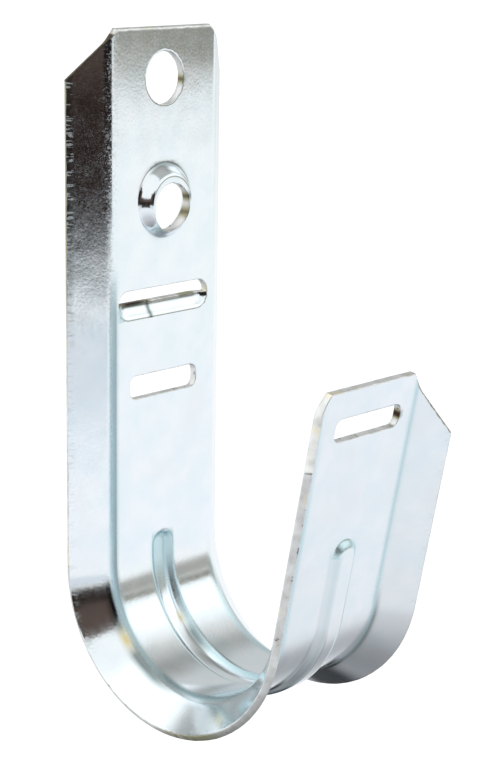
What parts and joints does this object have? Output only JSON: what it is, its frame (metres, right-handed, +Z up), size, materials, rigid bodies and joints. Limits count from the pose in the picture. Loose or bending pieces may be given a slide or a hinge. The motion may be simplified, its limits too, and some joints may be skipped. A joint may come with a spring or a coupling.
{
  "type": "j hook cable support",
  "caption": "One-piece galvanised J hook with a rounded cable saddle, folded edges, a raised boss, a louvre and cable-tie slots.",
  "frame": {"origin": "centre of the top hole in the plane of the web's back face", "axes": "+Y out of the back face into the wall, +Z up the back leg, +X across the strip"},
  "size_m": [0.033, 0.0487, 0.1027],
  "materials": {
    "zinc_steel": "bright zinc"
  },
  "bodies": {
    "root": {"hook": "zinc_steel"}
  },
  "joints": []
}
